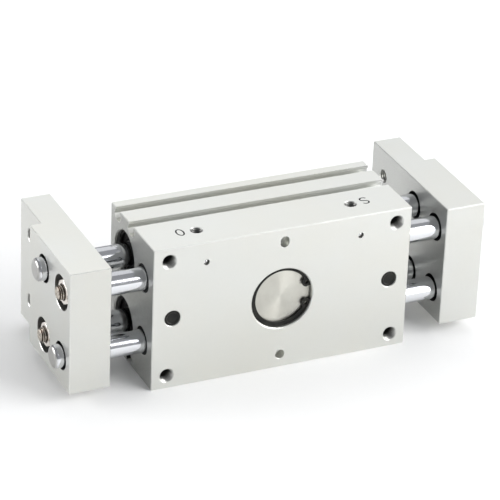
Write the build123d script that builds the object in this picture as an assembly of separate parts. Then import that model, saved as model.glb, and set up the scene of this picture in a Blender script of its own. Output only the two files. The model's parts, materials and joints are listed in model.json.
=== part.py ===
from build123d import *
import math
import os

# Wide opening pneumatic gripper: two opposed fingers on four long rods, driven
# by two double-acting pistons and synchronised by a pinion between two racks.
# Millimetres. X runs along the rods, Y from the front face to the back, Z up.
# The files are written with the origin in the front face, at the centre of its
# four mounting holes, on the pinion's axis. Below, heights are counted from the
# bottom face and depths from the body's middle; save() moves each piece over.

# ---------------------------------------------------------------- dimensions
# cylinder body
BODY_L = 116.2            # along X
BODY_D = 46.8             # along Y
BODY_H = 65.0             # along Z
BODY_CH = 0.35            # outer edge chamfer
HX = BODY_L / 2           # 58.1
HY = BODY_D / 2           # 23.4
ZC = BODY_H / 2           # 32.5, height of the pinion axis

# rod positions (y, z)
REAR_Y = 8.0
REAR_Z_UP = 48.0
REAR_Z_LO = BODY_H - REAR_Z_UP      # 17.0
FRONT_Y = -12.0
FRONT_Z_UP = 47.1
FRONT_Z_LO = BODY_H - FRONT_Z_UP    # 17.9
ROD_R = 5.0

# cylinder bores and their rod covers
BORE_R = 10.0
MOUTH_R = 10.4            # counterbore that takes the rod cover
CHAMBER_X = 37.1          # half length of the pressure chamber
COVER_OUT_X = 55.1        # outer face of the rod cover
COVER_R = 10.37
CLIP_X0, CLIP_X1 = 55.15, 56.15     # rod cover retaining ring
CLIP_GROOVE_R = 11.05

# piston
PISTON_REST = 15.0        # distance of each piston from mid stroke at rest
PISTON_R = 9.85
PISTON_HALF = 12.5
HUB_R = 7.0
HUB_HALF = 15.9
SEAL_OUT_R = 9.95
PISTON_CLIP_T = 0.9

# front guide bushes
BUSH_R = 6.2
BUSH_LEN = 19.0
BUSH_IN_R = 5.04          # running clearance 0.04 on the rods
FRONT_BORE_R = 5.6

# pinion and racks
MODULE = 1.0
TEETH = 24
PITCH_R = MODULE * TEETH / 2        # 12
TIP_R = PITCH_R + MODULE
ROOT_R = PITCH_R - 1.25 * MODULE
PRESSURE = math.radians(20)
THIN = 0.04               # flank relief per side, on pinion and rack alike
PINION_Y0, PINION_Y1 = -16.5, -7.5
RACK_X0, RACK_X1 = -16.0, 46.0      # flat and teeth of the upper rack at rest
AXLE_R = 3.0

# front opening over the pinion
OPEN_R = 13.8
CHAMBER_R = 13.4
OPEN_Y = -18.6            # shoulder that carries the cover
FLOOR_Y = -6.0            # floor of the pinion chamber
RING_Y0, RING_Y1 = -22.0, -20.8     # retaining ring
COVER_Y0, COVER_Y1 = -20.8, -18.6   # cover disc

# holes in the front and top faces
HOLE_X = 51.25            # four tapped mounting holes
HOLE_Z_UP, HOLE_Z_LO = 59.0, 6.0
M6_R, M6_DEPTH = 3.0, 12.0
LOC_R, LOC_DEPTH, LOC_SLOT = 2.0, 4.0, 1.1
PLUG_X, PLUG_Z, PLUG_R = 49.25, 32.5, 3.5
BALL_X, BALL_Z, BALL_R = 34.8, 55.8, 1.3
PORT_X, PORT_Y, PORT_R = 34.85, -12.0, 2.5

# switch grooves, two in the top face and two in the bottom face: middle (y)
# and half width of each mouth; wider below the lips
GROOVES = ((16.1, 2.5), (1.55, 2.65))
GROOVE_LIP, GROOVE_UNDER, GROOVE_DEPTH = 1.2, 1.0, 5.0

# open and shut marks, cut into the top face
MARK_O, MARK_S = (-42.0, -11.65), (41.7, -11.15)
MARK_W, MARK_H, MARK_LINE, MARK_DEPTH = 3.75, 5.85, 0.72, 0.15

# fingers, at rest
FIN_IN = 75.7             # inner face
FIN_T = 17.9              # thick part
TAB_T = 13.0              # thin tab at the back
FIN_Y0, FIN_STEP, FIN_Y1 = -22.1, 24.4, 48.6
FIN_Z0, FIN_Z1 = 5.0, 60.0
FIN_OUT = FIN_IN + FIN_T  # 93.6
TAB_HOLE_Y = 37.5
FREE_R = 6.0              # clearance hole round a free rod
SEAT_R, SEAT_DEPTH = 6.1, 3.0       # counterbore that takes a fixed rod
NUT_R, NUT_DEPTH = 7.6, 7.0         # counterbore that takes the nut
NUT_AF = 10.0
STUD_R = 3.0
SHOULDER = FIN_IN + SEAT_DEPTH      # 78.7, where the rod meets the web
FREE_END = 97.6           # free end of each rod
END_R = 1.7               # rounding of its edge
STUD_END = 95.4


# ------------------------------------------------------------------- helpers
def cx(x0, x1, y, z, r):
    return Pos((x0 + x1) / 2, y, z) * Rot(0, 90, 0) * Cylinder(r, abs(x1 - x0))


def cy(y0, y1, x, z, r):
    return Pos(x, (y0 + y1) / 2, z) * Rot(-90, 0, 0) * Cylinder(r, abs(y1 - y0))


def cz(z0, z1, x, y, r):
    return Pos(x, y, (z0 + z1) / 2) * Cylinder(r, abs(z1 - z0))


def cone_x(x0, x1, y, z, r0, r1):
    return Pos((x0 + x1) / 2, y, z) * Rot(0, 90, 0) * Cone(r0, r1, x1 - x0)


def cone_y(y0, y1, x, z, r0, r1):
    return Pos(x, (y0 + y1) / 2, z) * Rot(-90, 0, 0) * Cone(r0, r1, y1 - y0)


def cone_z(z0, z1, x, y, r0, r1):
    return Pos(x, y, (z0 + z1) / 2) * Cone(r0, r1, z1 - z0)


def block(x0, x1, y0, y1, z0, z1):
    return Pos((x0 + x1) / 2, (y0 + y1) / 2, (z0 + z1) / 2) * Box(x1 - x0, y1 - y0, z1 - z0)


def ring_x(x0, x1, y, z, ro, ri):
    return cx(x0, x1, y, z, ro) - cx(x0 - 1, x1 + 1, y, z, ri)


def turned_x(points, y, z):
    """Solid of revolution about a line along X; points are (x, radius)."""
    face = make_face(Polyline(*[(px, pr) for px, pr in points], close=True))
    return Pos(0, y, z) * revolve(face, Axis.X, 360)


TURN = Pos(0, 0, ZC) * Rot(0, 180, 0) * Pos(0, 0, -ZC)    # left jaw onto right jaw


def solids_of(shape):
    return shape.solids()


os.makedirs("parts", exist_ok=True)


def save(name, *shapes):
    solids = []
    for s in shapes:
        solids += list(solids_of(Pos(0, HY, -ZC) * s))
    out = solids[0] if len(solids) == 1 else Compound(children=solids)
    export_step(out, os.path.join("parts", name + ".step"))
    print(name, len(solids), "solid(s)", round(sum(s.volume for s in solids), 1), "mm3")


def clip(r_out, r_in, lug_at, lug_r, hole_r, lug_deg, gap_deg, thick, dx=0.0, dy=0.0):
    """Internal retaining ring in the XY plane with its gap towards +X."""
    a = math.radians(gap_deg)
    far = r_out * 1.4
    body = Circle(r_out) - Pos(dx, dy) * Circle(r_in)
    for s in (1, -1):
        t = math.radians(lug_deg * s)
        c = Pos(lug_at * math.cos(t), lug_at * math.sin(t))
        body += (c * Circle(lug_r)) & Circle(r_out)
    body -= make_face(Polyline((0, 0), (far, -far * math.tan(a)), (far, far * math.tan(a)), close=True))
    for s in (1, -1):
        t = math.radians(lug_deg * s)
        body -= Pos(lug_at * math.cos(t), lug_at * math.sin(t)) * Circle(hole_r)
    return Pos(0, 0, -thick / 2) * extrude(body, thick)


# --------------------------------------------------------------- cylinder body
body = Box(BODY_L, BODY_D, BODY_H)
body = chamfer(body.edges(), BODY_CH)
body = Pos(0, 0, ZC) * body

cuts = []
for z in (REAR_Z_UP, REAR_Z_LO):
    cuts.append(cx(-HX - 1, HX + 1, REAR_Y, z, BORE_R))
    for s in (1, -1):
        a, b = sorted((s * CHAMBER_X, s * (HX + 1)))
        cuts.append(cx(a, b, REAR_Y, z, MOUTH_R))
        a, b = sorted((s * CLIP_X0, s * (CLIP_X1 + 0.1)))
        cuts.append(cx(a, b, REAR_Y, z, CLIP_GROOVE_R))
    cuts.append(cone_x(-HX, -HX + 0.6, REAR_Y, z, MOUTH_R + 0.6, MOUTH_R))
    cuts.append(cone_x(HX - 0.6, HX, REAR_Y, z, MOUTH_R, MOUTH_R + 0.6))
for z in (FRONT_Z_UP, FRONT_Z_LO):
    cuts.append(cx(-HX - 1, HX + 1, FRONT_Y, z, FRONT_BORE_R))
    for s in (1, -1):
        a, b = sorted((s * (HX - BUSH_LEN - 0.6), s * (HX + 1)))
        cuts.append(cx(a, b, FRONT_Y, z, BUSH_R))
    cuts.append(cone_x(-HX, -HX + 0.3, FRONT_Y, z, BUSH_R + 0.3, BUSH_R))
    cuts.append(cone_x(HX - 0.3, HX, FRONT_Y, z, BUSH_R, BUSH_R + 0.3))

# opening over the pinion, ring groove, pinion chamber, axle seat
cuts.append(cy(-HY - 1, OPEN_Y, 0, ZC, OPEN_R))
cuts.append(cone_y(-HY, -HY + 0.4, 0, ZC, OPEN_R + 0.4, OPEN_R))
cuts.append(cy(RING_Y0 - 0.05, RING_Y1 + 0.05, 0, ZC, 14.6))
cuts.append(cy(OPEN_Y - 0.5, FLOOR_Y, 0, ZC, CHAMBER_R))
cuts.append(cy(FLOOR_Y - 0.5, 2.0, 0, ZC, AXLE_R))

# front face: tapped corner holes, locating hole and slot, plug seats, ball seats
for x in (-HOLE_X, HOLE_X):
    for z in (HOLE_Z_UP, HOLE_Z_LO):
        cuts.append(cy(-HY - 1, -HY + M6_DEPTH, x, z, M6_R))
        cuts.append(cone_y(-HY, -HY + 0.3, x, z, M6_R + 0.3, M6_R))
        cuts.append(cone_y(-HY + M6_DEPTH, -HY + M6_DEPTH + 1.4, x, z, 2.5, 0.1))
cuts.append(cy(-HY - 1, -HY + LOC_DEPTH, 0, HOLE_Z_LO, LOC_R))
cuts.append(cone_y(-HY, -HY + 0.15, 0, HOLE_Z_LO, LOC_R + 0.15, LOC_R))
cuts.append(cone_y(-HY + LOC_DEPTH, -HY + LOC_DEPTH + 0.5, 0, HOLE_Z_LO, 0.9, 0.05))
slot = Rot(0, 0, 90) * SlotOverall(2 * LOC_R + LOC_SLOT, 2 * LOC_R)
slot = extrude(slot, LOC_DEPTH + 1)
cuts.append(Pos(0, -HY - 1, HOLE_Z_UP) * Rot(-90, 0, 0) * slot)
for s in (1, -1):
    cuts.append(cy(-HY - 1, -HY + 5.2, s * PLUG_X, PLUG_Z, PLUG_R))
    cuts.append(cone_y(-HY, -HY + 0.25, s * PLUG_X, PLUG_Z, PLUG_R + 0.25, PLUG_R))
    cuts.append(cy(-HY - 1, 4.0, s * BALL_X, BALL_Z, BALL_R))
    # supply port and its drilling down to the cross passage
    cuts.append(cz(BODY_H - 7.0, BODY_H + 1, s * PORT_X, PORT_Y, PORT_R))
    cuts.append(cone_z(BODY_H - 0.3, BODY_H, s * PORT_X, PORT_Y, PORT_R, PORT_R + 0.3))
    cuts.append(cz(BALL_Z, BODY_H - 6.5, s * PORT_X, PORT_Y, 1.3))

# galleries that cross the air over to the lower cylinder
G1Y, G1Z, G2Y, G2Z, GR = 11.0, 33.5, 5.0, 31.5, 1.0
cuts.append(cy(-HY + 5.0, G1Y, -PLUG_X, PLUG_Z, 1.5))
cuts.append(cx(-PLUG_X, BALL_X, G1Y, G1Z, GR))
cuts.append(cz(G1Z, REAR_Z_UP - 8.5, -BALL_X, G1Y, GR))
cuts.append(cz(REAR_Z_LO + 8.5, G1Z, BALL_X, G1Y, GR))
cuts.append(cy(-HY + 5.0, G2Y, PLUG_X, PLUG_Z, 1.5))
cuts.append(cx(-BALL_X, PLUG_X, G2Y, G2Z, GR))
cuts.append(cz(G2Z, REAR_Z_UP - 8.5, BALL_X, G2Y, GR))
cuts.append(cz(REAR_Z_LO + 8.5, G2Z, -BALL_X, G2Y, GR))

# switch grooves
for yc, wm in GROOVES:
    wu = wm + GROOVE_UNDER
    half = [(wm, -1.0), (wm, GROOVE_LIP), (wu, GROOVE_LIP + 0.8), (wu, 3.3), (1.9, GROOVE_DEPTH)]
    shape = half + [(-w, d) for w, d in reversed(half)]
    for z0, up in ((BODY_H, -1), (0.0, 1)):
        face = make_face(Polyline(*[(yc + w, z0 + up * d) for w, d in shape], close=True))
        tool = extrude(Plane.YZ * face, 2 * HX + 2, dir=(1, 0, 0))
        cuts.append(Pos(-HX - 1, 0, 0) * tool)

# open and shut marks
def letter_s(w, h, line, n=14):
    """Outline of a plain S: two arcs drawn as one band."""
    rx, ry = (w - line) / 2, (h - line) / 4
    mid = []
    for i in range(n + 1):
        t = math.radians(25 + (270 - 25) * i / n)
        mid.append((rx * math.cos(t), ry + ry * math.sin(t)))
    mid += [(-x, -y) for x, y in reversed(mid[:-1])]
    a, b = [], []
    for i, (x, y) in enumerate(mid):
        x0, y0 = mid[max(i - 1, 0)]
        x1, y1 = mid[min(i + 1, len(mid) - 1)]
        d = math.hypot(x1 - x0, y1 - y0)
        nx, ny = -(y1 - y0) / d * line / 2, (x1 - x0) / d * line / 2
        a.append((x + nx, y + ny))
        b.append((x - nx, y - ny))
    return a + list(reversed(b))


mark_o = Ellipse(MARK_W / 2, MARK_H / 2) - Ellipse(MARK_W / 2 - MARK_LINE, MARK_H / 2 - MARK_LINE)
mark_s = make_face(Polyline(*letter_s(MARK_W, MARK_H, MARK_LINE), close=True))
for (x, y), face in ((MARK_O, mark_o), (MARK_S, mark_s)):
    cuts.append(Pos(x, y, BODY_H - MARK_DEPTH) * extrude(face, 1.0))

for c in cuts:
    body -= c
save("cylinder_body", body)

# ------------------------------------------- cover disc, ring, axle and washers
cover = cy(COVER_Y0, COVER_Y1, 0, ZC, OPEN_R - 0.05)
cover = chamfer(cover.edges(), 0.3)
save("pinion_cover", cover)

ring = clip(14.5, 11.95, 12.5, 2.05, 0.9, 23.2, 14.0, RING_Y1 - RING_Y0, 0.3, -0.25)
save("cover_retaining_ring", Pos(0, (RING_Y0 + RING_Y1) / 2, ZC) * Rot(-90, 0, 0) * ring)

axle = cy(-18.45, 1.9, 0, ZC, AXLE_R)
axle = chamfer(axle.edges(), 0.4)
save("pinion_axle", axle)

washer_f = cy(-18.5, -17.7, 0, ZC, 6.0) - cy(-19, -17, 0, ZC, AXLE_R + 0.05)
washer_r = cy(-7.0, -6.0, 0, ZC, 6.0) - cy(-8, -5, 0, ZC, AXLE_R + 0.05)
save("thrust_washers", washer_f, washer_r)

# ------------------------------------------------------------------ rod covers
# Modelled at +X, towards the mouth, and turned round for the other end.
def rod_cover():
    c = turned_x([(CHAMBER_X + 0.02, 6.3), (CHAMBER_X + 0.02, 9.6), (CHAMBER_X + 0.6, COVER_R),
                  (44.0, COVER_R), (44.0, 9.2), (46.2, 9.2), (46.2, COVER_R),
                  (COVER_OUT_X - 0.5, COVER_R), (COVER_OUT_X, COVER_R - 0.5),
                  (COVER_OUT_X, 7.4), (51.6, 7.4), (51.6, 6.3)], 0, 0)
    return c


def rod_bush():
    return ring_x(CHAMBER_X + 0.5, 51.2, 0, 0, 6.28, BUSH_IN_R)


def rod_seal():
    # lip seal and scraper in one, its outer lip just proud of the pocket
    return turned_x([(51.7, 5.6), (51.7, 7.38), (54.9, 7.38), (54.9, 6.9), (53.6, 6.5),
                     (53.6, 6.1), (55.4, 5.35), (55.4, 5.06), (54.6, 5.06), (53.2, 5.6),
                     (53.0, 5.06), (52.3, 5.06)], 0, 0)


def o_ring():
    return Pos(45.1, 0, 0) * Rot(0, 90, 0) * Torus(9.79, 0.57)


def cover_clip():
    k = clip(10.95, 9.1, 9.05, 1.7, 0.8, 20.0, 11.0, CLIP_X1 - CLIP_X0)
    return Pos((CLIP_X0 + CLIP_X1) / 2, 0, 0) * Rot(0, 90, 0) * k


covers, clips, orings, seals, bushes = {}, [], [], [], []
for z, up in ((REAR_Z_UP, "upper"), (REAR_Z_LO, "lower")):
    for s, side in ((1, "right"), (-1, "left")):
        put = Pos(0, REAR_Y, z) * (Rot(0, 0, 0) if s == 1 else Rot(0, 0, 180))
        save("rod_cover_%s_%s" % (up, side), put * rod_cover())
        clips.append(put * cover_clip())
        orings.append(put * o_ring())
        seals.append(put * rod_seal())
        bushes.append(put * rod_bush())
save("rod_cover_rings", *clips)
save("rod_cover_o_rings", *orings)
save("rod_seals", *seals)
save("rod_bushes", *bushes)

# --------------------------------------------------------- front guide bushes
for z, up in ((FRONT_Z_UP, "upper"), (FRONT_Z_LO, "lower")):
    for s, side in ((1, "right"), (-1, "left")):
        a, b = sorted((s * (HX - BUSH_LEN - 0.4), s * (HX - 0.4)))
        save("guide_bush_%s_%s" % (up, side), ring_x(a, b, FRONT_Y, z, BUSH_R - 0.02, BUSH_IN_R))

# ------------------------------------------------------- plugs for the drillings
save("passage_balls", *[Pos(s * BALL_X, -21.5, BALL_Z) * Sphere(BALL_R - 0.02) for s in (1, -1)])

plugs = []
for s in (1, -1):
    p = cy(-23.2, -18.3, s * PLUG_X, PLUG_Z, PLUG_R - 0.03)
    p = chamfer(p.edges(), 0.25)
    p -= cone_y(-23.2, -22.9, s * PLUG_X, PLUG_Z, 2.6, 2.3)
    plugs.append(p)
save("blanking_plugs", *plugs)

# ------------------------------------------------------------ left jaw, at rest
outline = Polyline((-FIN_OUT, FIN_Y0), (-FIN_IN, FIN_Y0), (-FIN_IN, FIN_Y1),
                   (-FIN_IN - TAB_T, FIN_Y1), (-FIN_IN - TAB_T, FIN_STEP),
                   (-FIN_OUT, FIN_STEP), close=True)
finger = Pos(0, 0, FIN_Z0) * extrude(make_face(outline), FIN_Z1 - FIN_Z0)
keep = []
for e in finger.edges():
    c = e.center()
    concave = abs(c.X + FIN_IN + TAB_T) < 0.01 and abs(c.Y - FIN_STEP) < 0.01
    if not concave:
        keep.append(e)
finger = chamfer(keep, 0.3)
for y, z, fixed in ((FRONT_Y, FRONT_Z_UP, True), (REAR_Y, REAR_Z_LO, True),
                    (REAR_Y, REAR_Z_UP, False), (FRONT_Y, FRONT_Z_LO, False)):
    if fixed:
        finger -= cx(-SHOULDER, -FIN_IN + 1, y, z, SEAT_R)
        finger -= cx(-FIN_OUT, -FIN_IN, y, z, STUD_R + 0.2)
        finger -= cx(-FIN_OUT - 1, -FIN_OUT + NUT_DEPTH, y, z, NUT_R)
        finger -= cone_x(-FIN_OUT, -FIN_OUT + 0.25, y, z, NUT_R + 0.25, NUT_R)
        finger -= cone_x(-FIN_IN - 0.25, -FIN_IN, y, z, SEAT_R, SEAT_R + 0.25)
    else:
        finger -= cx(-FIN_OUT - 1, -FIN_IN + 1, y, z, FREE_R)
        finger -= cone_x(-FIN_OUT, -FIN_OUT + 0.25, y, z, FREE_R + 0.25, FREE_R)
        finger -= cone_x(-FIN_IN - 0.25, -FIN_IN, y, z, FREE_R, FREE_R + 0.25)
for z in (REAR_Z_UP, REAR_Z_LO):
    finger -= cx(-FIN_IN - TAB_T - 1, -FIN_IN + 1, TAB_HOLE_Y, z, M6_R)
    finger -= cone_x(-FIN_IN - TAB_T, -FIN_IN - TAB_T + 0.3, TAB_HOLE_Y, z, M6_R + 0.3, M6_R)
    finger -= cone_x(-FIN_IN - 0.3, -FIN_IN, TAB_HOLE_Y, z, M6_R, M6_R + 0.3)
save("left_finger", finger)
save("right_finger", TURN * finger)


def rod(y, z):
    """Rod fixed to the left finger: stud and shoulder at -X, rounded free end at +X."""
    path = [(FREE_END, 0), (-STUD_END, 0), (-STUD_END, STUD_R - 0.7), (-STUD_END + 0.7, STUD_R),
            (-SHOULDER - 0.8, STUD_R), (-SHOULDER - 0.8, STUD_R - 0.4), (-SHOULDER, STUD_R - 0.4),
            (-SHOULDER, ROD_R - 0.3), (-SHOULDER + 0.3, ROD_R), (FREE_END - END_R, ROD_R)]
    q = END_R * math.sqrt(0.5)
    edge = ThreePointArc((FREE_END - END_R, ROD_R), (FREE_END - END_R + q, ROD_R - END_R + q),
                         (FREE_END, ROD_R - END_R))
    close = Line((FREE_END, ROD_R - END_R), (FREE_END, 0))
    face = make_face([*Polyline(*path).edges(), edge, close])
    return Pos(0, y, z) * revolve(face, Axis.X, 360)


# upper rack rod: flat and teeth face down to the pinion
PITCH_Z = ZC + PITCH_R
tip_z, root_z = PITCH_Z - MODULE, PITCH_Z + 1.25 * MODULE
w_tip = math.pi / 4 + THIN + MODULE * math.tan(PRESSURE)
w_root = math.pi / 4 + THIN - 1.25 * MODULE * math.tan(PRESSURE)
comb = [(RACK_X0, 40.0), (RACK_X0, tip_z)]
k = math.ceil((RACK_X0 + 1.4) / math.pi)
while k * math.pi + w_tip < RACK_X1 - 0.2:
    c = k * math.pi
    comb += [(c - w_tip, tip_z), (c - w_root, root_z), (c + w_root, root_z), (c + w_tip, tip_z)]
    k += 1
comb += [(RACK_X1, tip_z), (RACK_X1, 40.0)]
comb_face = make_face(Polyline(*[(x, z) for x, z in comb], close=True))
cutter = Pos(0, FRONT_Y + 7, 0) * Rot(90, 0, 0) * extrude(comb_face, 14)
rack_rod = rod(FRONT_Y, FRONT_Z_UP) - cutter
save("upper_rack_rod", rack_rod)
save("lower_rack_rod", TURN * rack_rod)

# lower piston rod: two clip grooves hold the piston
prod = rod(REAR_Y, REAR_Z_LO)
for s in (1, -1):
    a = PISTON_REST + s * HUB_HALF
    b = PISTON_REST + s * (HUB_HALF + PISTON_CLIP_T)
    a, b = sorted((a, b))
    prod -= ring_x(a, b, REAR_Y, REAR_Z_LO, ROD_R + 1, 4.4)
save("lower_piston_rod", prod)
save("upper_piston_rod", TURN * prod)

P = PISTON_REST
piston = turned_x([(P - HUB_HALF, 5.02), (P - HUB_HALF, HUB_R - 0.4), (P - HUB_HALF + 0.4, HUB_R),
                   (P - PISTON_HALF, HUB_R), (P - PISTON_HALF, PISTON_R - 0.5),
                   (P - PISTON_HALF + 0.5, PISTON_R),
                   (P - 9.0, PISTON_R), (P - 9.0, 7.6), (P - 6.2, 7.6), (P - 6.2, PISTON_R),
                   (P - 2.6, PISTON_R), (P - 2.6, 7.2), (P + 2.6, 7.2), (P + 2.6, PISTON_R),
                   (P + 6.2, PISTON_R), (P + 6.2, 7.6), (P + 9.0, 7.6), (P + 9.0, PISTON_R),
                   (P + PISTON_HALF - 0.5, PISTON_R), (P + PISTON_HALF, PISTON_R - 0.5),
                   (P + PISTON_HALF, HUB_R), (P + HUB_HALF - 0.4, HUB_R),
                   (P + HUB_HALF, HUB_R - 0.4), (P + HUB_HALF, 5.02)], REAR_Y, REAR_Z_LO)
save("lower_piston", piston)
save("upper_piston", TURN * piston)

pseals = []
for s in (1, -1):
    m = P + s * 7.6
    pseals.append(turned_x([(m - 1.3, 7.65), (m + 1.3, 7.65), (m + 1.3, SEAL_OUT_R - 0.35),
                            (m + 0.7, SEAL_OUT_R), (m + 0.35, SEAL_OUT_R), (m, SEAL_OUT_R - 0.4),
                            (m - 0.35, SEAL_OUT_R), (m - 0.7, SEAL_OUT_R),
                            (m - 1.3, SEAL_OUT_R - 0.35)], REAR_Y, REAR_Z_LO))
save("lower_piston_seals", *pseals)
save("upper_piston_seals", *[TURN * q for q in pseals])

magnet = ring_x(P - 2.5, P + 2.5, REAR_Y, REAR_Z_LO, 9.5, 7.25)
save("lower_piston_magnet", magnet)
save("upper_piston_magnet", TURN * magnet)

pclips = []
for s in (1, -1):
    a, b = sorted((P + s * (HUB_HALF + 0.02), P + s * (HUB_HALF + PISTON_CLIP_T - 0.05)))
    q = ring_x(a, b, REAR_Y, REAR_Z_LO, 6.3, 4.45)
    q -= block(a - 1, b + 1, REAR_Y - 1.6, REAR_Y + 1.6, REAR_Z_LO, REAR_Z_LO + 8)
    pclips.append(q)
save("lower_piston_clips", *pclips)
save("upper_piston_clips", *[TURN * q for q in pclips])

# spring washers and lock nuts on the two fixed rods
washers, nuts = [], []
w0 = -FIN_OUT + NUT_DEPTH          # floor of the nut counterbore, -86.6
n0, n1 = w0 - 1.5, -FIN_OUT + 0.7  # inner and outer face of the nut
cap = NUT_AF / 2 - 0.2             # radius of the nut's chamfer circle
for y, z in ((FRONT_Y, FRONT_Z_UP), (REAR_Y, REAR_Z_LO)):
    washers.append(turned_x([(w0 - 0.02, 7.3), (w0 - 0.95, 7.3), (w0 - 1.45, 3.3), (w0 - 0.5, 3.3)], y, z))
    hexp = extrude(RegularPolygon(NUT_AF / 2 / math.cos(math.pi / 6), 6), n0 - n1)
    nut = Pos(n1, 0, 0) * Rot(0, 90, 0) * hexp
    nut = nut & turned_x([(n1, 0), (n1, cap), (n1 + 0.5, cap + 0.95), (n0 - 0.5, cap + 0.95),
                          (n0, cap), (n0, 0)], 0, 0)
    nut -= cx(n1 - 1, n0 + 1, 0, 0, STUD_R + 0.03)
    nut -= cone_x(n1, n1 + 0.45, 0, 0, STUD_R + 0.48, STUD_R + 0.03)
    nuts.append(Pos(0, y, z) * nut)
save("left_spring_washers", *washers)
save("right_spring_washers", *[TURN * q for q in washers])
save("left_lock_nuts", *nuts)
save("right_lock_nuts", *[TURN * q for q in nuts])

# ---------------------------------------------------------------------- pinion
base_r = PITCH_R * math.cos(PRESSURE)


def involute(r):
    t = math.sqrt(max((r / base_r) ** 2 - 1, 0))
    return t - math.atan(t)


half_pitch = math.pi / (2 * TEETH) - THIN / PITCH_R
inv_p = involute(PITCH_R)
radii = [base_r, 11.55, 12.0, 12.5, TIP_R]
pts = []
for i in range(TEETH):
    mid = math.pi / 2 + 2 * math.pi * i / TEETH
    pts.append((ROOT_R, mid - half_pitch - inv_p))
    for r in radii:
        pts.append((r, mid - half_pitch - inv_p + involute(r)))
    for r in reversed(radii):
        pts.append((r, mid + half_pitch + inv_p - involute(r)))
    pts.append((ROOT_R, mid + half_pitch + inv_p))
gear = make_face(Polyline(*[(r * math.cos(a), r * math.sin(a)) for r, a in pts], close=True))
gear = extrude(gear, PINION_Y1 - PINION_Y0)
gear = Pos(0, PINION_Y1, ZC) * Rot(90, 0, 0) * gear
pinion = gear + cy(-17.5, -7.2, 0, ZC, 6.2)
pinion -= cy(PINION_Y0 - 1, PINION_Y0 + 0.8, 0, ZC, 9.2) - cy(PINION_Y0 - 2, PINION_Y0 + 2, 0, ZC, 6.2)
pinion -= cy(-19, -5, 0, ZC, 4.2)
save("pinion", pinion)
save("pinion_bush", cy(-17.5, -7.2, 0, ZC, 4.18) - cy(-19, -5, 0, ZC, AXLE_R + 0.04))
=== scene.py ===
import json
import math

import bpy
from mathutils import Matrix, Vector


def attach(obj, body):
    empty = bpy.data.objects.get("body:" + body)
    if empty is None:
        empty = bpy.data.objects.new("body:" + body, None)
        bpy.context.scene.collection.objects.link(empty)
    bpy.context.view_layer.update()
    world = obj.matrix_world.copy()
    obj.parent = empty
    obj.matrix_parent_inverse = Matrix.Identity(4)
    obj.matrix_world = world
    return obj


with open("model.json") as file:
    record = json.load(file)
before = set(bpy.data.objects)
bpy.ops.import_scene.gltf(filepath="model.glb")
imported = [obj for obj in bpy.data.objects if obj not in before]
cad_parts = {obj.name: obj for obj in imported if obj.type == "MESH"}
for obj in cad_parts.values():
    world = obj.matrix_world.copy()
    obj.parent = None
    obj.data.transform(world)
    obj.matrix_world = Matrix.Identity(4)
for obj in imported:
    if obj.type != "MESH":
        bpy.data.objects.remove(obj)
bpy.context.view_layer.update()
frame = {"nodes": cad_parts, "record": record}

# Wide opening pneumatic gripper. Metres; X along the rods, Y to the back, Z up,
# origin in the front face, at the centre of the four mounting holes.

nodes = frame["nodes"]
scene = bpy.context.scene
MM = 0.001
# heights below are counted from the body's bottom face and depths from its middle
OY, OZ = 23.4, -32.5


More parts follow.
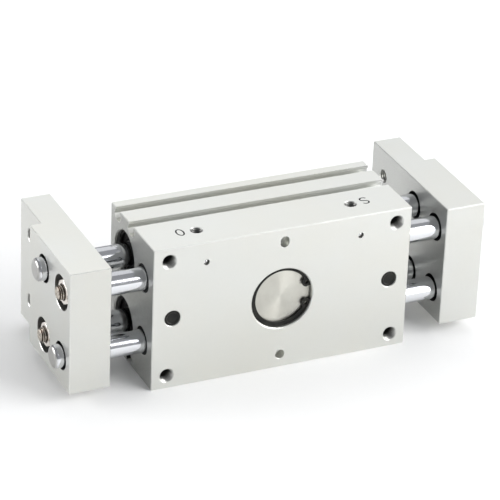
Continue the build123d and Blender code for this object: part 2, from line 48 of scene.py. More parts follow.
# ------------------------------------------------------------ material helpers
class Nodes:
    """A small builder for one material's node tree."""

    def __init__(self, name):
        self.mat = bpy.data.materials.new(name)
        self.mat.use_nodes = True
        self.t = self.mat.node_tree
        self.t.nodes.clear()
        self.out = self.t.nodes.new("ShaderNodeOutputMaterial")
        self.bsdf = self.t.nodes.new("ShaderNodeBsdfPrincipled")
        self.t.links.new(self.bsdf.outputs["BSDF"], self.out.inputs["Surface"])
        coord = self.t.nodes.new("ShaderNodeTexCoord")
        self.obj = coord.outputs["Object"]
        geo = self.t.nodes.new("ShaderNodeNewGeometry")
        self.normal = geo.outputs["Normal"]

    def link(self, a, b):
        self.t.links.new(a, b)

    def put(self, socket, value):
        if hasattr(value, "links") or isinstance(value, bpy.types.NodeSocket):
            self.t.links.new(value, socket)
        else:
            socket.default_value = value

    def math(self, op, a, b=0.0, c=0.0, clamp=False):
        n = self.t.nodes.new("ShaderNodeMath")
        n.operation = op
        n.use_clamp = clamp
        self.put(n.inputs[0], a)
        self.put(n.inputs[1], b)
        if len(n.inputs) > 2:
            self.put(n.inputs[2], c)
        return n.outputs[0]

    def vmath(self, op, a, b=(0, 0, 0)):
        n = self.t.nodes.new("ShaderNodeVectorMath")
        n.operation = op
        self.put(n.inputs[0], a)
        self.put(n.inputs[1], b)
        return n.outputs["Value"] if op in ("LENGTH", "DOT_PRODUCT", "DISTANCE") else n.outputs["Vector"]

    def split(self, v):
        n = self.t.nodes.new("ShaderNodeSeparateXYZ")
        self.put(n.inputs[0], v)
        return n.outputs

    def join(self, x, y, z):
        n = self.t.nodes.new("ShaderNodeCombineXYZ")
        for s, v in zip(n.inputs, (x, y, z)):
            self.put(s, v)
        return n.outputs[0]

    def scaled(self, sx, sy, sz, v=None):
        n = self.t.nodes.new("ShaderNodeMapping")
        self.put(n.inputs["Vector"], v if v is not None else self.obj)
        n.inputs["Scale"].default_value = (sx, sy, sz)
        return n.outputs[0]

    def noise(self, v, scale=1.0, detail=2.0, rough=0.5, distort=0.0):
        n = self.t.nodes.new("ShaderNodeTexNoise")
        self.put(n.inputs["Vector"], v)
        n.inputs["Scale"].default_value = scale
        n.inputs["Detail"].default_value = detail
        n.inputs["Roughness"].default_value = rough
        n.inputs["Distortion"].default_value = distort
        return n.outputs["Fac"]

    def voronoi(self, v, scale=1.0, feature="F1"):
        n = self.t.nodes.new("ShaderNodeTexVoronoi")
        n.feature = feature
        self.put(n.inputs["Vector"], v)
        n.inputs["Scale"].default_value = scale
        return n.outputs["Distance"]

    def ramp(self, fac, stops):
        n = self.t.nodes.new("ShaderNodeValToRGB")
        cr = n.color_ramp
        while len(cr.elements) < len(stops):
            cr.elements.new(0.5)
        for e, (p, c) in zip(cr.elements, stops):
            e.position = p
            e.color = (*c, 1.0) if len(c) == 3 else c
        self.put(n.inputs["Fac"], fac)
        return n.outputs["Color"]

    def rng(self, v, a, b, lo, hi, clamp=True):
        n = self.t.nodes.new("ShaderNodeMapRange")
        n.clamp = clamp
        self.put(n.inputs["Value"], v)
        for key, val in (("From Min", a), ("From Max", b), ("To Min", lo), ("To Max", hi)):
            n.inputs[key].default_value = val
        return n.outputs["Result"]

    def mix(self, fac, a, b):
        n = self.t.nodes.new("ShaderNodeMix")
        n.data_type = "RGBA"
        self.put(n.inputs["Factor"], fac)
        for s, v in ((n.inputs[6], a), (n.inputs[7], b)):
            self.put(s, (*v, 1.0) if isinstance(v, tuple) and len(v) == 3 else v)
        return n.outputs[2]

    def bump(self, height, distance, strength=1.0, normal=None):
        n = self.t.nodes.new("ShaderNodeBump")
        n.inputs["Strength"].default_value = strength
        n.inputs["Distance"].default_value = distance
        self.put(n.inputs["Height"], height)
        if normal is not None:
            self.put(n.inputs["Normal"], normal)
        return n.outputs["Normal"]

    def edge(self, radius):
        """0 on flats, towards 1 on outer edges."""
        n = self.t.nodes.new("ShaderNodeBevel")
        n.samples = 4
        n.inputs["Radius"].default_value = radius
        d = self.vmath("DOT_PRODUCT", n.outputs["Normal"], self.normal)
        return self.rng(d, 0.995, 0.86, 0.0, 1.0)

    def set(self, **kw):
        names = dict(color="Base Color", metallic="Metallic", rough="Roughness", normal="Normal",
                     ior="IOR", spec="Specular IOR Level", aniso="Anisotropic", rot="Anisotropic Rotation",
                     tangent="Tangent", coat="Coat Weight", coat_rough="Coat Roughness", sheen="Sheen Weight")
        for k, v in kw.items():
            s = self.bsdf.inputs[names[k]]
            if k == "color" and isinstance(v, tuple) and len(v) == 3:
                v = (*v, 1.0)
            self.put(s, v)
        return self.mat


def rod_axis(m):
    """Distance from the nearest rod axis and the angle about it."""
    p = m.split(m.obj)
    z = m.math("ABSOLUTE", m.math("SUBTRACT", p[2], (32.5 + OZ) * MM))
    front = m.math("LESS_THAN", p[1], (-2.0 + OY) * MM)
    rear = m.math("SUBTRACT", 1.0, front)
    dist, turn = 0.0, 0.0
    for ay, az, here in ((-12.0 + OY, 14.6, front), (8.0 + OY, 15.5, rear)):
        dy = m.math("SUBTRACT", p[1], ay * MM)
        dz = m.math("SUBTRACT", z, az * MM)
        d = m.math("SQRT", m.math("ADD", m.math("MULTIPLY", dy, dy), m.math("MULTIPLY", dz, dz)))
        dist = m.math("ADD", dist, m.math("MULTIPLY", d, here))
        turn = m.math("ADD", turn, m.math("MULTIPLY", m.math("ARCTAN2", dz, dy), here))
    return m.math("ABSOLUTE", p[0]), dist, turn


def anodised(name, tint, metal, rough, shift, inward):
    """Clear-anodised aluminium: fine blasted grain, drawn lines along X on the
    long faces, a slightly cloudy oxide and polished-looking edges whose lighter colour is partly wear and partly a
    painted highlight; painted shade in the gaps and holes."""
    m = Nodes(name)
    fine = m.noise(m.scaled(1, 1, 1), 5200, 2.0, 0.6)
    mid = m.noise(m.scaled(1, 1, 1), 900 + shift, 3.0, 0.55)
    cloud = m.noise(m.scaled(1, 1, 1), 26 + shift, 3.0, 0.5)
    drawn = m.noise(m.scaled(9, 1500, 1500), 1.0, 2.0, 0.55)
    n = m.split(m.normal)
    flat_x = m.math("ABSOLUTE", n[0])
    long_face = m.rng(flat_x, 0.3, 0.6, 1.0, 0.0)
    lines = m.math("MULTIPLY", m.math("SUBTRACT", drawn, 0.5), long_face)
    edge = m.edge(0.00045)
    dark = tuple(c * 0.93 for c in tint)
    light = tuple(min(1.0, c * 1.04) for c in tint)
    warm = (tint[0] * 1.0, tint[1] * 0.985, tint[2] * 0.955)
    col = m.mix(m.rng(cloud, 0.35, 0.65, 0.0, 1.0), tint, warm)
    col = m.mix(m.rng(mid, 0.3, 0.7, 0.35, 0.0), col, dark)
    col = m.mix(m.math("MULTIPLY", m.rng(fine, 0.35, 0.75, 0.0, 0.5), 1.0), col, light)
    # darker, speckled faces in the gaps, the body's end faces and the fingers' inner faces: a sawn and milled
    # grain, darkened as painted shade for the gaps
    across = m.math("MULTIPLY", n[0], m.math("SIGN", m.split(m.obj)[0]))
    sawn_and_gap_shade = m.rng(m.math("MULTIPLY", across, 1.0 - 2.0 * inward), 0.6, 0.9, 0.0, 1.0)
    speck = m.noise(m.scaled(1, 1, 1), 2300, 2.0, 0.7)
    col = m.mix(sawn_and_gap_shade, col, m.mix(m.rng(speck, 0.35, 0.65, 0.0, 1.0), tuple(c * 0.70 for c in tint), tuple(c * 0.86 for c in tint)))
    # edges lightened towards white: partly worn bare metal, partly a painted highlight
    col = m.mix(m.math("MULTIPLY", edge, 0.55), col, (0.97, 0.97, 0.965))
    if inward:
        # painted shade on the walls of the rod holes and of the nut recesses
        x, dist, turn = rod_axis(m)
        hole_shade = m.math("LESS_THAN", dist, 0.00614)
        recess_shade = m.math("MULTIPLY", m.math("LESS_THAN", dist, 0.00765), m.math("GREATER_THAN", x, 0.0864))
        recess_shade = m.math("MULTIPLY", recess_shade, m.math("LESS_THAN", x, 0.0933))
        recess_shade = m.math("MULTIPLY", recess_shade, m.math("GREATER_THAN", dist, 0.0065))
        col = m.mix(hole_shade, col, tuple(c * 0.10 for c in tint))
        col = m.mix(recess_shade, col, tuple(c * 0.50 for c in tint))
    else:
        # the bottom grooves lie against what the body stands on, so they stay unlit
        p = m.split(m.obj)
        within = m.math("LESS_THAN", m.math("ABSOLUTE", p[0]), 0.0577)
        low = m.math("LESS_THAN", p[2], (5.3 + OZ) * MM)
        under = m.math("GREATER_THAN", p[2], (0.4 + OZ) * MM)
        span = m.math("LESS_THAN", m.math("ABSOLUTE", m.math("SUBTRACT", p[1], (8.8 + OY) * MM)), 0.0112)
        hid = m.math("MULTIPLY", m.math("MULTIPLY", within, low), m.math("MULTIPLY", under, span))
        col = m.mix(hid, col, tuple(c * 0.08 for c in tint))
    r = m.math("ADD", m.rng(mid, 0.3, 0.7, rough - 0.03, rough + 0.03), m.math("MULTIPLY", lines, 0.10))
    r = m.math("SUBTRACT", r, m.math("MULTIPLY", edge, 0.10))
    h = m.math("ADD", m.math("MULTIPLY", fine, 0.7), m.math("MULTIPLY", lines, 0.5))
    nrm = m.bump(h, 0.000012, 0.55)
    return m.set(color=col, metallic=metal, rough=r, normal=nrm)


def machined(name, tint, rough, axis=None, start=0.0, sense=1.0):
    """Tapped metal inside a hole. With an axis it darkens with the depth below
    start (metres), a painted shade deeper in the hole."""
    m = Nodes(name)
    fine = m.noise(m.scaled(1, 1, 1), 3800, 2.0, 0.6)
    cloud = m.noise(m.scaled(1, 1, 1), 160, 2.0, 0.5)
    col = m.mix(m.rng(cloud, 0.3, 0.7, 0.0, 1.0), tint, tuple(c * 0.82 for c in tint))
    if axis is not None:
        # painted shade: darker the deeper into the hole
        depth = m.math("MULTIPLY", m.math("SUBTRACT", m.split(m.obj)[axis], start), sense)
        col = m.mix(m.rng(depth, 0.0008, 0.0050, 0.0, 1.0), col, tuple(c * 0.06 for c in tint))
    return m.set(color=col, metallic=1.0, rough=m.rng(fine, 0.3, 0.7, rough - 0.05, rough + 0.07),
                 normal=m.bump(fine, 0.00001, 0.4))


def chrome_rod(name):
    """Hard chrome, ground round the rod, with a turned and duller end face and
    a thread on the stud that carries the nut, its roots painted dark as painted shade."""
    m = Nodes(name)
    grind = m.noise(m.scaled(5200, 60, 60), 1.0, 2.0, 0.5)
    wander = m.noise(m.scaled(40, 12, 12), 1.0, 2.0, 0.5)
    n = m.split(m.normal)
    end = m.rng(m.math("ABSOLUTE", n[0]), 0.25, 0.8, 0.0, 1.0)
    x, dist, turn = rod_axis(m)
    stud = m.math("MULTIPLY", m.math("LESS_THAN", dist, 0.0034), m.math("GREATER_THAN", x, 0.0796))
    stud = m.math("MULTIPLY", stud, m.math("LESS_THAN", x, 0.0960))
    ph = m.math("FRACT", m.math("ADD", m.math("MULTIPLY", x, 1000.0), m.math("MULTIPLY", turn, 0.5 / math.pi)))
    tri = m.math("ABSOLUTE", m.math("SUBTRACT", m.math("MULTIPLY", ph, 2.0), 1.0))
    tip = m.math("MULTIPLY", stud, end)
    col = m.mix(m.rng(wander, 0.3, 0.7, 0.0, 1.0), (0.80, 0.81, 0.83), (0.75, 0.76, 0.79))
    col = m.mix(end, col, m.mix(m.rng(wander, 0.3, 0.7, 0.0, 1.0), (0.47, 0.465, 0.45), (0.42, 0.415, 0.40)))
    # stud thread: light crests and near-black roots, a painted shade in the roots
    col = m.mix(stud, col, m.mix(m.rng(tri, 0.35, 0.70, 0.0, 1.0), (0.045, 0.030, 0.022), (0.80, 0.74, 0.66)))
    mott = m.noise(m.scaled(1, 1, 1), 1100, 2.0, 0.6)
    col = m.mix(tip, col, m.mix(m.rng(mott, 0.35, 0.62, 0.0, 1.0), (0.26, 0.22, 0.18), (0.66, 0.61, 0.54)))
    r = m.math("ADD", m.rng(grind, 0.3, 0.7, 0.09, 0.15), m.math("MULTIPLY", end, 0.22))
    r = m.math("ADD", r, m.math("MULTIPLY", stud, 0.12))
    h = m.math("ADD", m.math("MULTIPLY", grind, 0.008),
               m.math("MULTIPLY", m.math("MULTIPLY", tri, stud), m.math("SUBTRACT", 1.0, end)))
    return m.set(color=col, metallic=1.0, rough=r, normal=m.bump(h, 0.00035, 0.6))


def turned_disc(name):
    """Satin steel disc with turning marks round its centre (axis along Y)."""
    m = Nodes(name)
    centred = m.vmath("SUBTRACT", m.obj, (0.0, 0.0, 0.0325 + OZ * MM))
    p = m.split(centred)
    rad = m.math("SQRT", m.math("ADD", m.math("MULTIPLY", p[0], p[0]), m.math("MULTIPLY", p[2], p[2])))
    ang = m.math("ARCTAN2", p[2], p[0])
    polar = m.join(m.math("MULTIPLY", rad, 5200.0), m.math("MULTIPLY", ang, 0.8), 0.0)
    marks = m.noise(polar, 1.0, 3.0, 0.6)
    drawn = m.noise(m.scaled(2600, 2600, 45), 1.0, 2.0, 0.5)
    blotch = m.noise(m.scaled(1, 1, 1), 130, 3.0, 0.55)
    col = m.mix(m.rng(blotch, 0.3, 0.7, 0.0, 1.0), (0.62, 0.615, 0.56), (0.55, 0.54, 0.49))
    both = m.math("ADD", m.math("MULTIPLY", marks, 0.7), m.math("MULTIPLY", drawn, 0.3))
    tan = m.t.nodes.new("ShaderNodeTangent")
    tan.direction_type = "RADIAL"
    tan.axis = "Y"
    rim = m.noise(m.join(m.math("MULTIPLY", rad, 1500.0), 0.0, 0.0), 1.0, 1.0, 0.5)
    rim = m.math("MULTIPLY", m.rng(rim, 0.35, 0.65, 0.0, 1.0), m.rng(rad, 0.0075, 0.0105, 0.0, 1.0))
    col = m.mix(m.math("MULTIPLY", rim, 0.35), col, (0.44, 0.43, 0.39))
    return m.set(color=col, metallic=1.0, rough=m.rng(both, 0.3, 0.7, 0.26, 0.36), aniso=0.80, rot=0.25,
                 tangent=tan.outputs[0], normal=m.bump(both, 0.000010, 0.5))


def black_oxide(name, base=0.014, rough=0.40):
    m = Nodes(name)
    fine = m.noise(m.scaled(1, 1, 1), 3000, 2.0, 0.6)
    patch = m.noise(m.scaled(1, 1, 1), 260, 3.0, 0.6)
    edge = m.edge(0.00025)
    col = m.mix(m.rng(patch, 0.35, 0.7, 0.0, 1.0), (base, base, base), (base * 2.0, base * 2.0, base * 1.7))
    col = m.mix(m.math("MULTIPLY", edge, m.rng(patch, 0.4, 0.7, 0.1, 0.5)), col, (0.12, 0.118, 0.11))
    deep = m.math("GREATER_THAN", m.math("ABSOLUTE", m.split(m.obj)[0]), 0.07)
    col = m.mix(deep, col, m.mix(m.rng(patch, 0.35, 0.7, 0.0, 1.0), (0.058, 0.054, 0.047), (0.082, 0.077, 0.067)))
    return m.set(color=col, metallic=0.55, rough=m.rng(fine, 0.3, 0.7, rough - 0.06, rough + 0.1),
                 spec=0.28, normal=m.bump(fine, 0.000012, 0.5))


def zinc(name):
    """Warm zinc plate with a blotchy passivate, bright corners and a painted
    shade at the thread mouth, where the stud meets the nut."""
    m = Nodes(name)
    blotch = m.noise(m.scaled(1, 1, 1), 420, 3.0, 0.6, 0.6)
    fine = m.noise(m.scaled(1, 1, 1), 3500, 2.0, 0.6)
    edge = m.edge(0.0004)
    x, dist, turn = rod_axis(m)
    col = m.ramp(blotch, [(0.25, (0.84, 0.77, 0.70)), (0.5, (0.90, 0.86, 0.80)), (0.75, (0.80, 0.72, 0.66))])
    col = m.mix(m.math("MULTIPLY", edge, 0.5), col, (0.96, 0.93, 0.88))
    # painted shade at the thread mouth, in the gap between nut and stud
    col = m.mix(m.rng(dist, 0.00355, 0.0039, 1.0, 0.0), col, (0.07, 0.045, 0.035))
    return m.set(color=col, metallic=1.0, rough=m.rng(fine, 0.3, 0.7, 0.22, 0.34),
                 normal=m.bump(m.math("ADD", fine, m.math("MULTIPLY", blotch, 0.6)), 0.000012, 0.5))


def plastic(name, base, rough, spec=0.5):
    m = Nodes(name)
    grain = m.voronoi(m.scaled(1, 1, 1), 2600)
    patch = m.noise(m.scaled(1, 1, 1), 300, 2.0, 0.5)
    col = m.mix(m.rng(patch, 0.3, 0.7, 0.0, 1.0), base, tuple(c * 1.5 for c in base))
    return m.set(color=col, metallic=0.0, rough=m.rng(grain, 0.0, 0.8, rough, rough + 0.12), spec=spec,
                 normal=m.bump(grain, 0.00001, 0.4))


def rubber(name):
    m = Nodes(name)
    grain = m.noise(m.scaled(1, 1, 1), 2400, 3.0, 0.6)
    bloom = m.noise(m.scaled(1, 1, 1), 220, 2.0, 0.5)
    col = m.mix(m.rng(bloom, 0.4, 0.75, 0.0, 1.0), (0.018, 0.018, 0.018), (0.04, 0.04, 0.042))
    return m.set(color=col, metallic=0.0, rough=m.rng(grain, 0.3, 0.7, 0.45, 0.65),
                 normal=m.bump(grain, 0.00001, 0.5))


def bronze(name):
    m = Nodes(name)
    pores = m.voronoi(m.scaled(1, 1, 1), 3200)
    patch = m.noise(m.scaled(1, 1, 1), 240, 2.0, 0.5)
    col = m.mix(m.rng(patch, 0.3, 0.7, 0.0, 1.0), (0.60, 0.43, 0.24), (0.46, 0.32, 0.19))
    col = m.mix(m.rng(pores, 0.0, 0.25, 0.6, 0.0), col, (0.10, 0.07, 0.05))
    return m.set(color=col, metallic=1.0, rough=m.rng(patch, 0.3, 0.7, 0.32, 0.45),
                 normal=m.bump(pores, 0.00001, 0.4))


def ground_steel(name):
    m = Nodes(name)
    grain = m.noise(m.scaled(700, 4200, 700), 1.0, 2.0, 0.5)
    patch = m.noise(m.scaled(1, 1, 1), 300, 2.0, 0.5)
    col = m.mix(m.rng(patch, 0.3, 0.7, 0.0, 1.0), (0.58, 0.58, 0.58), (0.50, 0.50, 0.505))
    return m.set(color=col, metallic=1.0, rough=m.rng(grain, 0.3, 0.7, 0.2, 0.34),
                 normal=m.bump(grain, 0.00001, 0.4))


def ink(name):
    m = Nodes(name)
    grain = m.noise(m.scaled(1, 1, 1), 4200, 2.0, 0.6)
    col = m.mix(m.rng(grain, 0.35, 0.7, 0.0, 1.0), (0.012, 0.012, 0.012), (0.035, 0.035, 0.035))
    return m.set(color=col, metallic=0.0, rough=m.rng(grain, 0.3, 0.7, 0.6, 0.8), spec=0.12,
                 normal=m.bump(grain, 0.00001, 0.3))


BODY = anodised("anodised_body", (0.665, 0.672, 0.645), 0.88, 0.39, 0.0, 0.0)
FINGER = anodised("anodised_finger", (0.650, 0.657, 0.632), 0.88, 0.37, 7.0, 1.0)
MATS = {
    "anodised_body": BODY,
    "anodised_finger": FINGER,
    "cover_disc": turned_disc("cover_disc"),
    "black_steel": black_oxide("black_steel"),
    "steel": ground_steel("steel"),
    "bronze": bronze("bronze"),
    "dark_cover": plastic("dark_cover", (0.010, 0.010, 0.010), 0.42, 0.25),
    "dark_bush": plastic("dark_bush", (0.005, 0.005, 0.005), 0.40, 0.12),
    "seal_rubber": rubber("seal_rubber"),
    "chrome_rod": chrome_rod("chrome_rod"),
    "magnet": plastic("magnet", (0.05, 0.045, 0.04), 0.5),
    "zinc_nut": zinc("zinc_nut"),
}
slot_of = {s["node"]: s["material_slot"] for s in frame["record"]["subparts"]}
for name, ob in nodes.items():
    ob.data.materials.clear()
    ob.data.materials.append(MATS[slot_of[name]])

# three tints of one tapped aluminium, all darker than the body and darkest in the top air ports: painted shade
# inside the holes
THREAD = machined("tapped_metal", (0.50, 0.50, 0.48), 0.34)
THREAD_FRONT = machined("tapped_metal_front", (0.62, 0.62, 0.60), 0.30, 1, (-23.4 + OY) * MM, 1.0)
THREAD_TOP = machined("tapped_metal_top", (0.30, 0.30, 0.29), 0.34, 2, (65.3 + OZ) * MM, -1.0)
INK = ink("port_mark")


def threaded_steel(name):
    """Rolled thread: bright worn crests and a painted shade in the root."""
    m = Nodes(name)
    x, dist, turn = rod_axis(m)
    fine = m.noise(m.scaled(1, 1, 1), 3600, 2.0, 0.6)
    patch = m.noise(m.scaled(1, 1, 1), 700, 2.0, 0.6)
    crest = m.mix(m.rng(patch, 0.35, 0.65, 0.0, 1.0), (0.80, 0.74, 0.66), (0.60, 0.54, 0.47))
    # painted shade: near-black in the thread root
    col = m.mix(m.rng(dist, 0.00302, 0.00310, 0.0, 1.0), (0.045, 0.030, 0.022), crest)
    return m.set(color=col, metallic=1.0, rough=m.rng(fine, 0.3, 0.7, 0.24, 0.36),
                 normal=m.bump(fine, 0.00001, 0.4))


STUD = threaded_steel("stud_thread")


# ------------------------------------------------------------- mesh helpers
def mesh_piece(name, verts, faces, mat, body, smooth=True):
    me = bpy.data.meshes.new(name)
    me.from_pydata([tuple(v) for v in verts], [], faces)
    me.validate()
    me.update()
    ob = bpy.data.objects.new(name, me)
    scene.collection.objects.link(ob)
    me.materials.append(mat)
    for p in me.polygons:
        p.use_smooth = smooth
    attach(ob, body)
    return ob


def tapped_thread(name, body, mouth, out, r_major, r_minor, pitch, d0, d1, mat):
    """The thread inside a tapped hole, a closed sleeve whose inner wall carries
    one helical ridge. mouth and sizes in mm; out points out of the hole."""
    out = Vector(out).normalized()
    side = Vector((0, 0, 1)) if abs(out.z) < 0.9 else Vector((1, 0, 0))
    u = (side - out * side.dot(out)).normalized()
    w = out.cross(u)
    seg = 48
    rows = int(round((d1 - d0) / pitch * 6)) + 1
    verts, faces = [], []

    def at(depth, a, r):
        q = Vector(mouth) - out * depth + (u * math.cos(a) + w * math.sin(a)) * r
        return q * MM

    for i in range(rows):
        d = d0 + (d1 - d0) * i / (rows - 1)
        for j in range(seg):
            a = 2 * math.pi * j / seg
            ph = (d / pitch + a / (2 * math.pi)) % 1.0
            tri = min(max((abs(2 * ph - 1) - 0.12) / 0.70, 0.0), 1.0)
            r = r_minor + (r_major - 0.03 - r_minor) * tri
            r = max(r, r_major - 0.03 - (d - d0) * 1.0)
            verts.append(at(d, a, r))
    outer = len(verts)
    for d in (d0, d1):
        for j in range(seg):
            verts.append(at(d, 2 * math.pi * j / seg, r_major - 0.004))
    for i in range(rows - 1):
        for j in range(seg):
            k = (j + 1) % seg
            faces.append((i * seg + j, (i + 1) * seg + j, (i + 1) * seg + k, i * seg + k))
    last = (rows - 1) * seg
    for j in range(seg):
        k = (j + 1) % seg
        faces.append((outer + j, outer + k, outer + seg + k, outer + seg + j))
        faces.append((j, k, outer + k, outer + j))
        faces.append((last + j, outer + seg + j, outer + seg + k, last + k))
    ob = mesh_piece(name, verts, faces, mat, body, True)
    fix_normals(ob)
    return ob


def fix_normals(ob):
    import bmesh
    bm = bmesh.new()
    bm.from_mesh(ob.data)
    bmesh.ops.recalc_face_normals(bm, faces=bm.faces)
    bm.to_mesh(ob.data)
    bm.free()


# threads in the mounting holes, the air ports and the finger tabs
for sx, side in ((-1, "left"), (1, "right")):
    for z, row in ((59.0, "upper"), (6.0, "lower")):
        tapped_thread("body_thread_%s_%s" % (row, side), "housing", (51.25 * sx, -23.4 + OY, z + OZ), (0, -1, 0),
                      3.0, 2.5, 1.0, 0.3, 11.4, THREAD_FRONT)
    tapped_thread("port_thread_%s" % side, "housing", (34.85 * sx, -12.0 + OY, 65.0 + OZ), (0, 0, 1),
                  2.5, 2.1, 0.8, 0.3, 6.6, THREAD_TOP)
    for z, row in ((48.0, "upper"), (17.0, "lower")):
        tapped_thread("tab_thread_%s_%s" % (row, side), side + "_jaw", (75.7 * sx, 37.5 + OY, z + OZ), (-sx, 0, 0),
                      3.0, 2.5, 1.0, 0.3, 12.7, THREAD)


def stud_thread(name, body, sx, y, z, x0=92.3, x1=95.1, root=2.99, crest=3.14, pitch=1.0):
    """The thread on a stud's tip, past its nut: a closed sleeve with one helical
    ridge that runs out over the stud's chamfer; mm."""
    seg, rows = 48, int(round((x1 - x0) / pitch * 10)) + 1
    verts, faces = [], []
    for inner in (False, True):
        for i in range(rows):
            x = x0 + (x1 - x0) * i / (rows - 1)
            bevel = 2.3 + (95.4 - x)
            for j in range(seg):
                a = 2 * math.pi * j / seg
                ph = (x / pitch + a / (2 * math.pi)) % 1.0
                tri = min(max((abs(2 * ph - 1) - 0.15) / 0.65, 0.0), 1.0)
                r = min(root + (crest - root) * tri, bevel + 0.04)
                if inner:
                    r = min(root, bevel) - 0.12
                verts.append(Vector((x * sx, y + r * math.cos(a), z + r * math.sin(a))) * MM)
    n = rows * seg
    for i in range(rows - 1):
        for j in range(seg):
            k = (j + 1) % seg
            faces.append((i * seg + j, (i + 1) * seg + j, (i + 1) * seg + k, i * seg + k))
            faces.append((n + i * seg + j, n + i * seg + k, n + (i + 1) * seg + k, n + (i + 1) * seg + j))
    for row in (0, rows - 1):
        for j in range(seg):
            k = (j + 1) % seg
            faces.append((row * seg + j, row * seg + k, n + row * seg + k, n + row * seg + j))
    ob = mesh_piece(name, verts, faces, STUD, body, True)
    fix_normals(ob)
    return ob


# threads on the studs, past the nuts
for sx, side, rows_yz in ((-1, "left", ((-12.0, 47.1, "front"), (8.0, 17.0, "rear"))),
                          (1, "right", ((-12.0, 17.9, "front"), (8.0, 48.0, "rear")))):
    for y, z, row in rows_yz:
        stud_thread("stud_thread_%s_%s" % (row, side), side + "_jaw", sx, y + OY, z + OZ)


# ------------------------------------------- paint in the open and shut marks
def plate(name, a, b, closed, at, z0, z1):
    """Thin closed plate between two outlines; mm."""
    n = len(a)
    verts = [Vector((at[0] + x, at[1] + y, z)) * MM for z in (z0, z1) for x, y in a + b]
    faces = []
    for i in range(n if closed else n - 1):
        j = (i + 1) % n
        lo, hi = 0, 2 * n
        faces.append((lo + i, lo + j, lo + n + j, lo + n + i))
        faces.append((hi + i, hi + n + i, hi + n + j, hi + j))
        faces.append((lo + i, hi + i, hi + j, lo + j))
        faces.append((lo + n + i, lo + n + j, hi + n + j, hi + n + i))
    if not closed:
        for i in (0, n - 1):
            faces.append((i, n + i, 3 * n + i, 2 * n + i))
    ob = mesh_piece(name, verts, faces, INK, "housing", False)
    fix_normals(ob)
    return ob


def oval(rx, ry, n=48):
    return [(rx * math.cos(2 * math.pi * i / n), ry * math.sin(2 * math.pi * i / n)) for i in range(n)]


def s_band(w, h, line, thin, n=14):
    """The two sides of a plain S drawn as one band."""
    rx, ry = (w - line) / 2, (h - line) / 4
    mid = []
    for i in range(n + 1):
        t = math.radians(27 + (270 - 27) * i / n)
        mid.append((rx * math.cos(t), ry + ry * math.sin(t)))
    mid += [(-x, -y) for x, y in reversed(mid[:-1])]
    a, b = [], []
    for i, (x, y) in enumerate(mid):
        x0, y0 = mid[max(i - 1, 0)]
        x1, y1 = mid[min(i + 1, len(mid) - 1)]
        d = math.hypot(x1 - x0, y1 - y0)
        nx, ny = -(y1 - y0) / d * thin / 2, (x1 - x0) / d * thin / 2
        a.append((x + nx, y + ny))
        b.append((x - nx, y - ny))
    return a, b


MARK_TOP = 65.0 + OZ
plate("mark_open_paint", oval(1.85, 2.90), oval(1.18, 2.23), True, (-42.0, -11.65 + OY), MARK_TOP - 0.145, MARK_TOP - 0.02)
s_left, s_right = s_band(3.75, 5.85, 0.72, 0.66)
plate("mark_shut_paint", s_left, s_right, False, (41.7, -11.15 + OY), MARK_TOP - 0.145, MARK_TOP - 0.02)

# ------------------------------------------------------------------ the camera
cam_data = bpy.data.cameras.new("camera")
cam_data.sensor_width = 36.0
cam_data.sensor_fit = "HORIZONTAL"
cam_data.lens = 209.979
cam_data.clip_start = 0.05
cam_data.clip_end = 50.0
cam = bpy.data.objects.new("camera", cam_data)
scene.collection.objects.link(cam)
right = Vector((0.91276205, -0.40680144, 0.03712183))
up = Vector((0.15927151, 0.43809791, 0.88470493))
back = Vector((-0.37616223, -0.80161263, 0.46467102))
rot = Matrix((right, up, back)).transposed().to_4x4()
cam.matrix_world = Matrix.Translation(Vector((-0.46311378, -0.97675122 + OY * MM, 0.61068526 + OZ * MM))) @ rot
scene.camera = cam

# ------------------------------------------------------------- floor and light
floor_me = bpy.data.meshes.new("floor")
S = 6.0
FZ = OZ * MM
floor_me.from_pydata([(-S, -S, FZ), (S, -S, FZ), (S, S, FZ), (-S, S, FZ)], [], [(0, 1, 2, 3)])
floor = bpy.data.objects.new("floor", floor_me)
scene.collection.objects.link(floor)
fm = Nodes("floor")
soft = fm.noise(fm.scaled(1, 1, 1), 30, 2.0, 0.5)
fp = fm.split(fm.obj)
away = fm.math("SQRT", fm.math("ADD", fm.math("MULTIPLY", fp[0], fp[0]), fm.math("MULTIPLY", fp[1], fp[1])))
white = fm.mix(soft, (0.97, 0.97, 0.97), (0.95, 0.95, 0.95))
# painted pool of light: the floor is white round the object and painted grey further off
floor_me.materials.append(fm.set(color=fm.mix(fm.rng(away, 0.42, 1.3, 0.0, 1.0), white, (0.50, 0.50, 0.505)),
                                 rough=0.9, spec=0.1))

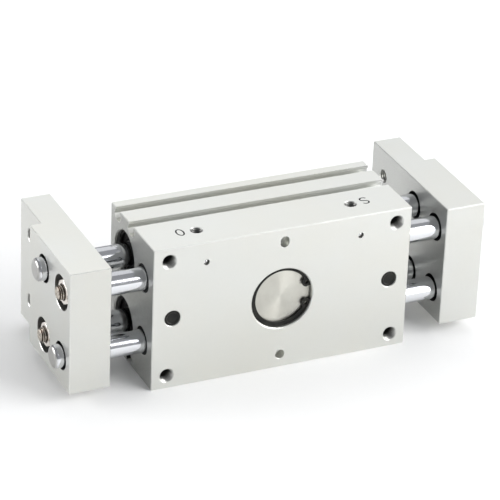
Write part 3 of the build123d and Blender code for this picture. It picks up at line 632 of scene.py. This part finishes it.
world = bpy.data.worlds.new("world")
scene.world = world
world.use_nodes = True
wt = world.node_tree
sky = wt.nodes["Background"]
sky.inputs["Color"].default_value = (0.95, 0.97, 1.0, 1.0)
direction = wt.nodes.new("ShaderNodeTexCoord")
parts = wt.nodes.new("ShaderNodeSeparateXYZ")
level = wt.nodes.new("ShaderNodeMapRange")
wt.links.new(direction.outputs["Generated"], parts.inputs[0])
wt.links.new(parts.outputs["X"], level.inputs["Value"])
for key, val in (("From Min", -1.0), ("From Max", 1.0), ("To Min", 0.27), ("To Max", 0.40)):
    level.inputs[key].default_value = val
wt.links.new(level.outputs["Result"], sky.inputs["Strength"])


def softbox(name, place, aim, sx, sy, power, colour=(1, 1, 1)):
    data = bpy.data.lights.new(name, "AREA")
    data.shape = "RECTANGLE"
    data.size = sx
    data.size_y = sy
    data.energy = power
    data.color = colour
    ob = bpy.data.objects.new(name, data)
    scene.collection.objects.link(ob)
    d = Vector(aim) - Vector(place)
    shift = Vector((0.0, OY * MM, OZ * MM))
    ob.matrix_world = Matrix.Translation(Vector(place) + shift) @ d.to_track_quat("-Z", "Y").to_matrix().to_4x4()
    return ob


back_top = softbox("back_top", (0.82, 1.14, 1.60), (0, 0, 0.02), 2.8, 1.8, 21.5)
back_soft = softbox("back_soft", (0.82, 1.14, 1.60), (0, 0, 0.02), 2.8, 1.8, 7.6)
softbox("key", (1.00, -0.78, 0.54), (0, 0, 0.03), 1.45, 1.13, 26.3)
softbox("left_back", (-1.5, 0.75, 0.55), (0, 0, 0.03), 1.2, 0.8, 19)
softbox("front_high", (0.75, -1.25, 1.36), (0, 0, 0.03), 1.8, 0.5, 1.6)

# the polished rods mirror the back light, so they get a dimmer one of the same size
rods = [ob for name, ob in nodes.items() if name.endswith("_rod")]
for light, state in ((back_top, "EXCLUDE"), (back_soft, "INCLUDE")):
    group = bpy.data.collections.new(light.name + "_group")
    for ob in rods:
        group.objects.link(ob)
    for item in group.collection_objects:
        item.light_linking.link_state = state
    light.light_linking.receiver_collection = group

scene.view_settings.view_transform = "Standard"
scene.view_settings.look = "None"
scene.view_settings.exposure = 0.0
scene.view_settings.gamma = 1.0
